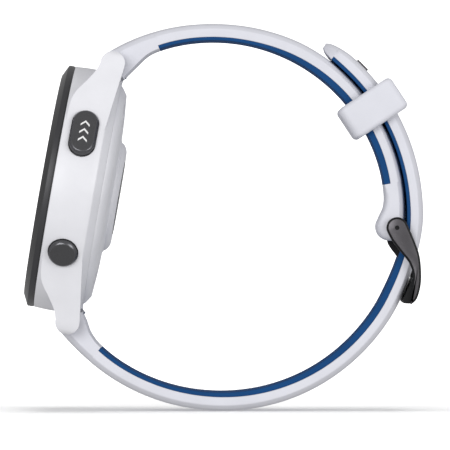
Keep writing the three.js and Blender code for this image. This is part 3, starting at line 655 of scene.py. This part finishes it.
def rear_shell():
    window = 7.3
    cutter_top = -9.0
    dome = smooth_line([(19.3, -10.45), (15, -10.8), (10.9, -10.98)], 6)
    pod = smooth_line([(10.35, -11.2), (10.1, -11.6), (9.5, -12.05), (8.8, -12.3)], 4)
    shell = lathe("rear_shell", [
        (window, -11.3), (8.6, -11.3), (9.3, -9.3), (19.0, -9.3), (19.0, -8.35), (20.1, -8.35), (20.1, -9.22),
        (REAR_RIM_RADIUS - 0.02, -9.22), (REAR_RIM_RADIUS - 0.05, -9.26), (REAR_RIM_RADIUS - 0.4, -9.62),
        *dome, *pod, (window, -12.3),
    ])
    port_sides = (-PORT_HALF_WIDTH, PORT_HALF_WIDTH)
    port = block("port", PORT_SPAN, port_sides, (CUTTER_LOW, cutter_top), CASE)
    vent = cover_bore("vent", VENT_RADIUS, cutter_top, VENT_CENTRE)
    screws = []
    for turn in SCREW_TURNS:
        screws.append(cover_bore("shank", SCREW_SHANK_HOLE, COVER_SEAT_TOP, screw_place(turn)))
        screws.append(cover_bore("head", SCREW_HEAD_HOLE, SCREW_SEAT, screw_place(turn)))
    cut(shell, port, vent, *screws)
    return rounded_edges(shell, 0.06, 2)


finish_piece(rear_shell(), "case", "white_plastic", "rear_cover")

window = lathe("sensor_glass", [
    (0, -11.4), (6.95, -11.4), (7.0, -11.45), (7.0, -12.3), (6.9, -12.4), (0, -12.4),
])
finish_piece(smooth(window, 50), "case", "black_glass", "sensor_window")

# ---------------------------------------------------------------- buttons


def button_rod(name, turn, width, *ends):
    """A round rod along a button's axis, between two distances from the case's axis."""
    return loft(name, [pill(x, width, width, 0, 10) for x in ends], button_matrix(turn))


def button_cap(name, turn, length, width):
    """A cap with a rounded chamfer, on a stem that a collar holds inside the case."""
    face = BUTTON_FACE
    chamfer = CAP_CHAMFER
    rows = [
        (CAP_BOTTOM, 0.0), (face - chamfer, 0.0), (face - chamfer + 0.07, 0.03),
        (face - 0.06, chamfer - 0.12), (face - 0.01, chamfer - 0.02),
        (face, chamfer + 0.08), (face, chamfer + 0.5),
    ]
    cap = loft(f"{name}_cap", [pill(x, length, width, inset) for x, inset in rows], button_matrix(turn))
    stem = button_rod("stem", turn, STEM_WIDTH, CAP_BOTTOM + 0.1, STEM_END)
    collar = button_rod("collar", turn, COLLAR_WIDTH, STEM_END, COLLAR_TOP)
    combine(cap, [stem, collar], "UNION")
    return smooth(cap, 24)


for name, layout in BUTTONS.items():
    cap = button_cap(name, *layout)
    finish_piece(cap, f"{name}_button", "dark_button", f"{name}_button")
    to_button = (Matrix.Scale(MM, 4) @ button_matrix(layout[0])).inverted()
    # The caps' chamfer rings are polished, and their lighter colour is a painted highlight.
    paint(cap, POLISHED_RIM_AND_HIGHLIGHT, lambda centre: -CAP_CHAMFER < (to_button @ centre).x - BUTTON_FACE < -0.02)

# Three plain chevrons on the start button, one outline repeated along its length.
CHEVRON = [(-0.7, -0.85), (-0.28, -0.85), (0.52, 0), (-0.28, 0.85), (-0.7, 0.85), (0.1, 0)]
CHEVRON_MIDDLES = (-1.6, 0.05, 1.7)
CHEVRON_HEIGHTS = (0.004, 0.03)

for index, middle in enumerate(CHEVRON_MIDDLES):
    rows = [[(BUTTON_FACE + height, middle + y, z) for y, z in CHEVRON] for height in CHEVRON_HEIGHTS]
    mark = loft(f"start_mark_{index + 1}", rows, button_matrix(BUTTONS["start"][0]))
    finish_piece(mark, "start_button", "white_plastic")
    mark.data.materials[0] = PRINT_WHITE

# ---------------------------------------------------------------- strap halves

# Angle about the origin in degrees, inner radius, outer radius and half width, in rising angles.
UPPER_KNOTS = [
    (UPPER_END, 30.9, 36.15, 10.1), (-1, 31.4, 36.15, 10.1), (2, 32.2, 36.2, 10.1), (6, 32.6, 36.25, 10.1),
    (20, 32.75, 36.25, 10.1), (40, 32.65, 36.25, 10.1), (60, 32.6, 36.25, 10.2), (75, 32.6, 35.95, 10.3),
    (90, 32.6, 35.8, 10.4), (107, 32.6, 36.0, 10.65), (112, 32.4, 36.1, 10.75), (118, 31.35, 36.2, 10.85),
    (UPPER_ROOT, 30.6, 36.3, 10.85),
]
LOWER_KNOTS = [
    (LOWER_ROOT, 30.95, 36.35, 10.85), (220, 31.35, 36.25, 10.85),
    (224, 32.25, 36.2, 10.8), (229, 32.75, 36.2, 10.7),
    (250, 33.15, 36.5, 10.5), (270, 33.55, 37.0, 10.3), (300, 34.4, 38.0, 10.1), (330, 35.2, 38.75, 10),
    (338, 35.35, 38.85, 10), (346, 35.75, 39.0, 10), (352, 36.25, 39.35, 10), (358, 36.5, 39.6, 10),
    (364, 36.5, 39.6, 10), (404, 36.45, 39.6, 9.9), (409, 36.5, 39.6, 9.4), (412.5, 36.65, 39.4, 8.4),
    (414.5, 36.95, 39.2, 6.9), (416.1, 37.4, 38.95, 5), (416.5, 37.7, 38.7, 4),
]

# A liner's ends, then its thickness as (angle, thickness), in rising angles.
UPPER_LINER = (9.7, 108, [(9.7, 1.1), (45, 1.1), (60, 0.95), (78, 0.62), (108, 0.62)])
LOWER_LINER = (
    230, 412.5, [(230, 0.65), (255, 0.65), (285, 0.9), (330, 1.1), (346, 1.0), (358, 0.62), (412.5, 0.62)],
)
STRAP_STEP = 1.1
# Angles in degrees from a liner's end to the step in the strap, and to the end of the liner's own mesh.
LINER_STEP = 0.03
LINER_END_GAP = 0.04
# Inside edges are nearly sharp. The upper half's grow rounder from END_EASE_ANGLE down to the buckle.
EDGE_EASE = 0.15
END_EASE = 1.1
END_EASE_ANGLE = 9.5
END_EASE_SPAN = 4
STRAP_SHARP_ANGLE = 38


def knot_slope(knots, index, column):
    """The rise of a column through a knot, from the knots on either side."""
    before = knots[max(index - 1, 0)]
    after = knots[min(index + 1, len(knots) - 1)]
    return (after[column] - before[column]) / (after[0] - before[0])


def knot_value(knots, angle, column):
    """A smooth value through a column of the knots."""
    index = 0
    while index < len(knots) - 2 and angle > knots[index + 1][0]:
        index += 1
    low, high = knots[index], knots[index + 1]
    span = high[0] - low[0]
    t = min(max((angle - low[0]) / span, 0), 1)
    rise = t * t * (3 - 2 * t)
    leave = t * (1 - t) ** 2 * span * knot_slope(knots, index, column)
    arrive = t * t * (t - 1) * span * knot_slope(knots, index + 1, column)
    return low[column] + (high[column] - low[column]) * rise + leave + arrive


def on_plane(angle, radius, y):
    """A point at an angle and a radius about the origin, across the watch by y."""
    a = math.radians(angle)
    return radius * math.cos(a), y, radius * math.sin(a)


def angles_between(start, end):
    """Even steps from one angle to another, none of them above STRAP_STEP."""
    count = math.ceil((end - start) / STRAP_STEP)
    return [start + (end - start) * i / count for i in range(count + 1)]


def strap_section(knots, angle, lift):
    """A flat inside, straight sides, a bevel along each outer edge and a crowned outside."""
    inner = knot_value(knots, angle, 1) + lift
    outer = knot_value(knots, angle, 2)
    half = knot_value(knots, angle, 3)
    crown = min(CROWN_HEIGHT, (outer - inner) * 0.4)
    right = [(inner, half), (outer - crown, half), (outer - 0.3 * crown, half - 1.1), (outer, half - 3.4)]
    corners = [*right, *[(r, -y) for r, y in reversed(right)]]
    inner_ease = EDGE_EASE
    if knots is UPPER_KNOTS:
        inner_ease += END_EASE * min(max((END_EASE_ANGLE - angle) / END_EASE_SPAN, 0), 1)
    reaches = [inner_ease, 0.2, 0.45, 1.0]
    return [on_plane(angle, r, y) for r, y in eased(corners, [*reaches, *reversed(reaches)])]


def strap_body(name, knots, liner):
    """One half of the strap, its inside raised where the liner lies."""
    start, end, thickness = liner
    angles = [(a, 0) for a in angles_between(knots[0][0], start - LINER_STEP)]
    angles += [(a, knot_value(thickness, a, 1) + LINER_GAP) for a in angles_between(start, end)]
    angles += [(a, 0) for a in angles_between(end + LINER_STEP, knots[-1][0])]
    return loft(name, [strap_section(knots, a, up) for a, up in angles])


def liner_body(name, knots, liner):
    start, end, thickness = liner
    sections = []
    for angle in angles_between(start + LINER_END_GAP, end - LINER_END_GAP):
        inner = knot_value(knots, angle, 1)
        half = knot_value(knots, angle, 3)
        outer = inner + knot_value(thickness, angle, 1)
        corners = [(inner, -half), (inner, half), (outer, half), (outer, -half)]
        sections.append([on_plane(angle, r, y) for r, y in eased(corners, (0.14, 0.14, 0.02, 0.02))])
    return loft(name, sections)


# ---------------------------------------------------------------- buckle outlines


def from_pin(points):
    """Moves points measured from the pin to the shared frame."""
    return [(PIN[0] + x, PIN[1] + z) for x, z in points]


def arm_outline():
    """The outline of a side arm, round about the pin and bent towards the crossbar."""
    outer = [(1.88, 0.68), (3.1, -2.1), (4.15, -5.05), (4.5, -8.1), (4.4, -10.85), (3.7, -13.3), (2.6, -14.4)]
    inner = [
        (2.35, -13.9), (2.6, -12.3), (2.85, -10.4), (2.95, -8.6), (2.2, -6.5), (0.8, -4.7),
        (-0.9, -2.5), (-1.81, -0.85),
    ]
    end = arc(PIN, 2.0, 205, 20, 20)
    return [*end[:-1], *smooth_line(from_pin(outer), 6), *smooth_line(from_pin(inner), 5)[:-1]]


CROSSBAR = [
    (2.95, -9.4), (4.4, -9.4), (4.3, -10.85), (3.6, -13.2), (2.6, -14.25), (1.4, -14.2), (1.0, -13.75),
]
TONGUE_LINE = [(0, 0), (-1.1, -2.3), (0.7, -5.1), (2.95, -8.4), (3.85, -9.7), (4.0, -11.3)]


def bar_outline(line, half):
    """The outline of a bar of even thickness along a bent line."""
    points = [Vector(p) for p in line]
    left, right = [], []
    for i, point in enumerate(points):
        along = (points[min(i + 1, len(points) - 1)] - points[max(i - 1, 0)]).normalized()
        normal = Vector((-along.y, along.x))
        left.append(tuple(point + normal * half))
        right.append(tuple(point - normal * half))
    return [*left, *reversed(right)]


def tongue_blank(name, half, half_width, line=TONGUE_LINE):
    """A bar along the tongue's line, half a thickness to either side of it."""
    return plate_across_y(name, bar_outline(from_pin(line), half), -half_width, half_width)


# ---------------------------------------------------------------- strap pieces

RELEASE_SLOT_SIDES = (5.55, 8.95)
RELEASE_SLOT_HALF = 0.95
TONGUE_SLOT_HALF = 1.45
HOLE_PITCH = 7.6
HOLE_HALF_WIDTH = 1.65
HOLE_HALF_LENGTH = 1.1
TONGUE_HOLE_ANGLE = 345.2


def adjustment_holes():
    """The row of oval adjustment holes; the one at the tongue is cut along the tongue."""
    holes = [tongue_blank("tongue_hole", 1.35, 1.6)]
    circle_of_one = circle((0, 0), 1, 28)
    for step in (*range(-6, 0), *range(1, 7)):
        angle = TONGUE_HOLE_ANGLE + step * HOLE_PITCH
        inner = knot_value(LOWER_KNOTS, angle, 1)
        outer = knot_value(LOWER_KNOTS, angle, 2)
        rows = [
            (inner - 1, 1.4), (inner, 1.12), (inner + 0.25, 1),
            (outer - 0.25, 1), (outer, 1.12), (outer + 1, 1.4),
        ]
        sections = [
            [(r, HOLE_HALF_WIDTH * grow * y, HOLE_HALF_LENGTH * grow * z) for y, z in circle_of_one]
            for r, grow in rows
        ]
        holes.append(loft("hole", sections, Matrix.Rotation(-math.radians(angle), 4, "Y")))
    return holes


def release_slot(bar, root):
    """The opening beside a spring bar where its release knob is reached from inside the strap."""
    reach = math.hypot(*bar)
    turned = Matrix.Rotation(-math.radians(root), 4, "Y")
    height = (-RELEASE_SLOT_HALF, RELEASE_SLOT_HALF)
    return block("release_slot", (reach - 5, reach), RELEASE_SLOT_SIDES, height, turned)


upper = strap_body("upper_strap_skin", UPPER_KNOTS, UPPER_LINER)
eye = rod_along_y("eye", EYE_RADIUS, -EYE_HALF_WIDTH, EYE_HALF_WIDTH, UPPER_BAR)
# The buckle end's round eye, as half width and inset, with bevelled edges.
end_rows = [(10.1, 1.25), (10.0, 0.8), (9.7, 0.4), (9.2, 0.12), (8.6, 0.0)]
end_rows += [(-y, inset) for y, inset in reversed(end_rows)]
end = loft("end", [
    [(x, y, z) for x, z in circle(END_EYE, END_EYE_RADIUS - inset, 64)] for y, inset in end_rows
])
combine(upper, [eye, end], "UNION")
slot_sides = (-TONGUE_SLOT_HALF, TONGUE_SLOT_HALF)
cut(
    upper,
    rod_along_y("pin_bore", PIN_BORE_RADIUS, -PAST_STRAP, PAST_STRAP, PIN),
    block("tongue_slot", (PIN[0] - 5, PIN[0] + 4), slot_sides, (PIN[1] - 4, PIN[1] + 1.95)),
    rod_along_y("bar_bore", BAR_BORE_RADIUS, -PAST_STRAP, PAST_STRAP, UPPER_BAR),
    release_slot(UPPER_BAR, UPPER_ROOT),
)
finish_piece(smooth(upper, STRAP_SHARP_ANGLE), "band", "white_silicone", "upper_strap")

upper_lining = liner_body("upper_liner_skin", UPPER_KNOTS, UPPER_LINER)
finish_piece(smooth(upper_lining, STRAP_SHARP_ANGLE), "band", "blue_silicone", "upper_liner")

lower = strap_body("lower_strap_skin", LOWER_KNOTS, LOWER_LINER)
combine(lower, [rod_along_y("eye", EYE_RADIUS, -EYE_HALF_WIDTH, EYE_HALF_WIDTH, LOWER_BAR)], "UNION")
bar_bore = rod_along_y("bar_bore", BAR_BORE_RADIUS, -PAST_STRAP, PAST_STRAP, LOWER_BAR)
cut(lower, bar_bore, release_slot(LOWER_BAR, LOWER_ROOT), *adjustment_holes())
finish_piece(smooth(lower, STRAP_SHARP_ANGLE), "band", "white_silicone", "lower_strap")

lower_lining = cut(liner_body("lower_liner_skin", LOWER_KNOTS, LOWER_LINER), *adjustment_holes())
finish_piece(smooth(lower_lining, STRAP_SHARP_ANGLE), "band", "blue_silicone", "lower_liner")

# ---------------------------------------------------------------- keeper


def keeper_section(along, inner, outer, half, corner, steps=8):
    """A rectangle with round corners across the strap, at one height along it."""
    points = []
    for quarter, (out, side) in enumerate(((1, 1), (-1, 1), (-1, -1), (1, -1))):
        centre = (outer - corner if out > 0 else inner + corner, side * (half - corner))
        points += arc(centre, corner, 90 * quarter, 90 * quarter + 90, steps)
    return [(r, y, along) for r, y in points]


def keeper_piece():
    """A loop with rounded ends, and a way through it for both halves of the strap."""
    inner, outer = KEEPER_RADII
    half_length, edge = KEEPER_HALF_LENGTH, KEEPER_EDGE
    turned = Matrix.Rotation(-math.radians(KEEPER_ANGLE), 4, "Y")
    quarter = [math.radians(15 * i) for i in range(7)]
    rows = [(-half_length + edge * (1 - math.cos(a)), edge * (1 - math.sin(a))) for a in quarter]
    rows += [(-along, inset) for along, inset in reversed(rows)]
    outside = [
        keeper_section(along, inner + inset, outer - inset, KEEPER_HALF_WIDTH - inset, KEEPER_CORNER)
        for along, inset in rows
    ]
    loop = loft("keeper_loop", outside, turned)
    way = [keeper_section(along, *WAY_RADII, WAY_HALF_WIDTH, WAY_CORNER) for along in (-4, 4)]
    cut(loop, loft("way", way, turned))
    return rounded_edges(loop, 0.3, 4, 40)


finish_piece(keeper_piece(), "keeper", "white_silicone", "keeper")

# ---------------------------------------------------------------- buckle


def shrunk(outline, inset):
    """An outline with every point moved in from its neighbours by the same distance."""
    points = [Vector(p) for p in outline]
    area = sum(points[i - 1].cross(point) for i, point in enumerate(points))
    moved = []
    for i, point in enumerate(points):
        along = (points[(i + 1) % len(points)] - points[i - 1]).normalized()
        inward = Vector((-along.y, along.x)) * math.copysign(inset, area)
        moved.append(tuple(point + inward))
    return moved


def arm_piece(name, side):
    """One side arm, its outer edges rounded."""
    rows = [
        (ARM_INNER, 0.0), (ARM_OUTER - 0.42, 0.0), (ARM_OUTER - 0.22, 0.07), (ARM_OUTER - 0.06, 0.22),
        (ARM_OUTER, 0.4),
    ]
    return loft(name, [[(x, side * y, z) for x, z in shrunk(arm_outline(), inset)] for y, inset in rows])


def buckle_piece():
    arms = arm_piece("buckle", -1)
    bar = plate_across_y("crossbar", from_pin(CROSSBAR), -ARM_INNER - 0.3, ARM_INNER + 0.3)
    combine(arms, [arm_piece("far_arm", 1), bar], "UNION")
    bore = rod_along_y("bore", PIN_BORE_RADIUS, -PIN_BORE_END, PIN_BORE_END, PIN)
    floor, past = ARM_OUTER - DIMPLE_DEPTH, ARM_OUTER + 1.1
    reaches = ((-past, -floor), (floor, past))
    dimples = [rod_along_y("dimple", DIMPLE_RADIUS, *reach, PIN, steps=24) for reach in reaches]
    cut(arms, bore, *dimples, tongue_blank("rest", 0.9, TONGUE_HALF_WIDTH + 0.3))
    return smooth(arms, 34)


buckle = finish_piece(buckle_piece(), "buckle", "dark_buckle", "buckle_frame")
# Every face but the arms' outer flats is painted near-black shade: the rounded rims, the crossbar, the bore
# and the dimples.
paint(buckle, SHADED_METAL, lambda centre: abs(centre.y) < (ARM_OUTER - 0.01) * MM)

tongue = tongue_blank("tongue", TONGUE_HALF_THICKNESS, TONGUE_HALF_WIDTH, smooth_line(TONGUE_LINE, 4))
combine(tongue, [rod_along_y("hub", TONGUE_HUB_RADIUS, -TONGUE_HALF_WIDTH, TONGUE_HALF_WIDTH, PIN)], "UNION")
cut(tongue, rod_along_y("bore", PIN_BORE_RADIUS, -5, 5, PIN))
finish_piece(rounded_edges(tongue, 0.2, 3), "tongue", "dark_buckle", "buckle_tongue")
# The whole tongue is painted near-black shade, as it sits in the buckle's shadow.
tongue.data.materials[0] = SHADED_METAL

pin = rod_along_y("pin", PIN_RADIUS, 0.3 - PIN_BORE_END, PIN_BORE_END - 0.3, PIN)
finish_piece(rounded_edges(pin, 0.15, 3), "band", "steel", "buckle_pin")

badge_under, badge_top = BADGE_RADII
badge_outline = [
    (badge_under, -BADGE_HALF_WIDTH), (badge_under, BADGE_HALF_WIDTH),
    (badge_top, BADGE_HALF_WIDTH), (badge_top, -BADGE_HALF_WIDTH),
]
badge_angles = [BADGE_START + BADGE_SPAN * i / 6 for i in range(7)]
badge = loft("badge", [[on_plane(a, r, y) for r, y in badge_outline] for a in badge_angles])
finish_piece(rounded_edges(badge, 0.08, 2), "band", "dark_buckle", "strap_badge")

# ---------------------------------------------------------------- materials of the CAD nodes

for part in frame["record"]["subparts"]:
    node = frame["nodes"][part["node"]]
    node.data.materials.clear()
    node.data.materials.append(MATERIALS[part["material_slot"]])
    smooth(node, 35)

# ---------------------------------------------------------------- stage, light and camera

FLOOR_GAP = 0.05
floor_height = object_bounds()[0].z / MM - FLOOR_GAP


def stage_material():
    """White paper that shows the object's shadow close to it and is evenly bright further off."""
    shader = Shader("paper_sweep", 0.9, Specular_IOR_Level=0.1)
    fibre = shader.noise(300.0, 2.0)
    shader.set_colour(shader.colour(fibre, (0.93, 0.93, 0.93), (0.95, 0.95, 0.95)))
    distance = shader.nodes.new("ShaderNodeVectorMath")
    distance.operation = "LENGTH"
    shader.links.new(shader.place, distance.inputs[0])
    glow = shader.nodes.new("ShaderNodeMapRange")
    glow.inputs["From Min"].default_value = 0.05
    glow.inputs["From Max"].default_value = 0.4
    glow.inputs["To Min"].default_value = 0.1
    glow.inputs["To Max"].default_value = 1.0
    shader.links.new(distance.outputs["Value"], glow.inputs["Value"])
    shader.principled.inputs["Emission Color"].default_value = (1, 1, 1, 1)
    shader.links.new(glow.outputs["Result"], shader.principled.inputs["Emission Strength"])
    return shader.material


def paper_sweep():
    """A floor that curves up into a backdrop."""
    front, depth, height = -2500, 2200, 2600
    bend, half_width = 900, 4000
    profile = [(front, 0), (depth - bend, 0), *arc((depth - bend, bend), bend, -90, 0, 24), (depth, height)]
    verts = [(x, y, z) for y, z in profile for x in (-half_width, half_width)]
    faces = [(2 * i, 2 * i + 1, 2 * i + 3, 2 * i + 2) for i in range(len(profile) - 1)]
    sweep = mesh_piece("paper_sweep", verts, faces, Matrix.Translation((0, 0, floor_height)))
    sweep.data.materials.append(stage_material())
    smooth(sweep)
    sweep.visible_diffuse = False
    sweep.visible_glossy = False
    return sweep


floor = paper_sweep()


def soft_light(name, place, size, power, target=(0, 0, 0)):
    """A rectangular lamp at a place in metres, turned towards its target."""
    light = bpy.data.lights.new(name, "AREA")
    light.shape = "RECTANGLE"
    light.size, light.size_y = size
    light.energy = power
    lamp = bpy.data.objects.new(name, light)
    lamp.location = place
    lamp.rotation_euler = (Vector(target) - Vector(place)).to_track_quat("-Z", "Y").to_euler()
    bpy.context.scene.collection.objects.link(lamp)
    return lamp


# This lamp shines on the paper alone, so that it doesn't whiten the tops of the object.
floor_light = soft_light("floor_light", (0.0, -0.05, 0.8), (0.45, 0.45), 3.4)
floor_only = bpy.data.collections.new("floor_only")
floor_only.objects.link(floor)
floor_light.light_linking.receiver_collection = floor_only
soft_light("front_left", (-0.45, -1.1, 0.25), (0.7, 0.7), 6.6)
soft_light("front_right", (0.85, -0.9, 0.22), (0.6, 0.6), 4.8)

world = bpy.data.worlds.new("studio")
world.use_nodes = True
background = world.node_tree.nodes["Background"]
background.inputs["Color"].default_value = (1, 1, 1, 1)
background.inputs["Strength"].default_value = 0.49
bpy.context.scene.world = world
bpy.context.scene.view_settings.view_transform = "Standard"

VIEW_WIDTH = 85.1
CAMERA_DISTANCE = 1400
VIEW_CENTRE = (2.27, -2.08)
SENSOR_WIDTH = 36

camera = bpy.data.cameras.new("camera")
camera.sensor_width = SENSOR_WIDTH
camera.lens = SENSOR_WIDTH * CAMERA_DISTANCE / VIEW_WIDTH
camera.clip_start = 0.05
camera.clip_end = 20
camera_object = bpy.data.objects.new("camera", camera)
camera_object.location = Vector((VIEW_CENTRE[0], -CAMERA_DISTANCE, VIEW_CENTRE[1])) * MM
camera_object.rotation_euler = (math.radians(90), 0, 0)
bpy.context.scene.collection.objects.link(camera_object)
bpy.context.scene.camera = camera_object
